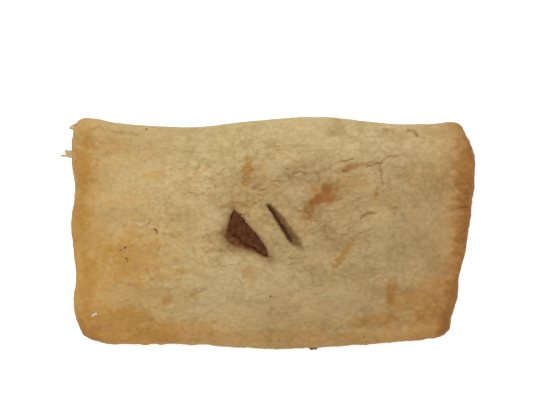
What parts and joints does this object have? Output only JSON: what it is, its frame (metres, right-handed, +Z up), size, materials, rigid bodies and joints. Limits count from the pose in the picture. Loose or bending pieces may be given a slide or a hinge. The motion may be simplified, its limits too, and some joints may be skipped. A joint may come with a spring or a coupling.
{
  "type": "cornish pasty",
  "caption": "Oblong baked puff pastry pasty with a domed lid, a thick sealed rim and slanting steam slashes that show a dark meat filling.",
  "frame": {"origin": "middle of the pasty's box, on the plane of its flat base", "axes": "+X along the pasty's length, +Y across it, away from the side that bellies out in its middle, +Z up through the slashed lid"},
  "size_m": [0.1522, 0.0874, 0.028],
  "materials": {
    "pastry": "matte baked puff pastry, golden and lightly browned",
    "meat": "moist dark brown minced meat in gravy"
  },
  "bodies": {
    "root": {"crust": "pastry", "filling": "meat"}
  },
  "joints": []
}
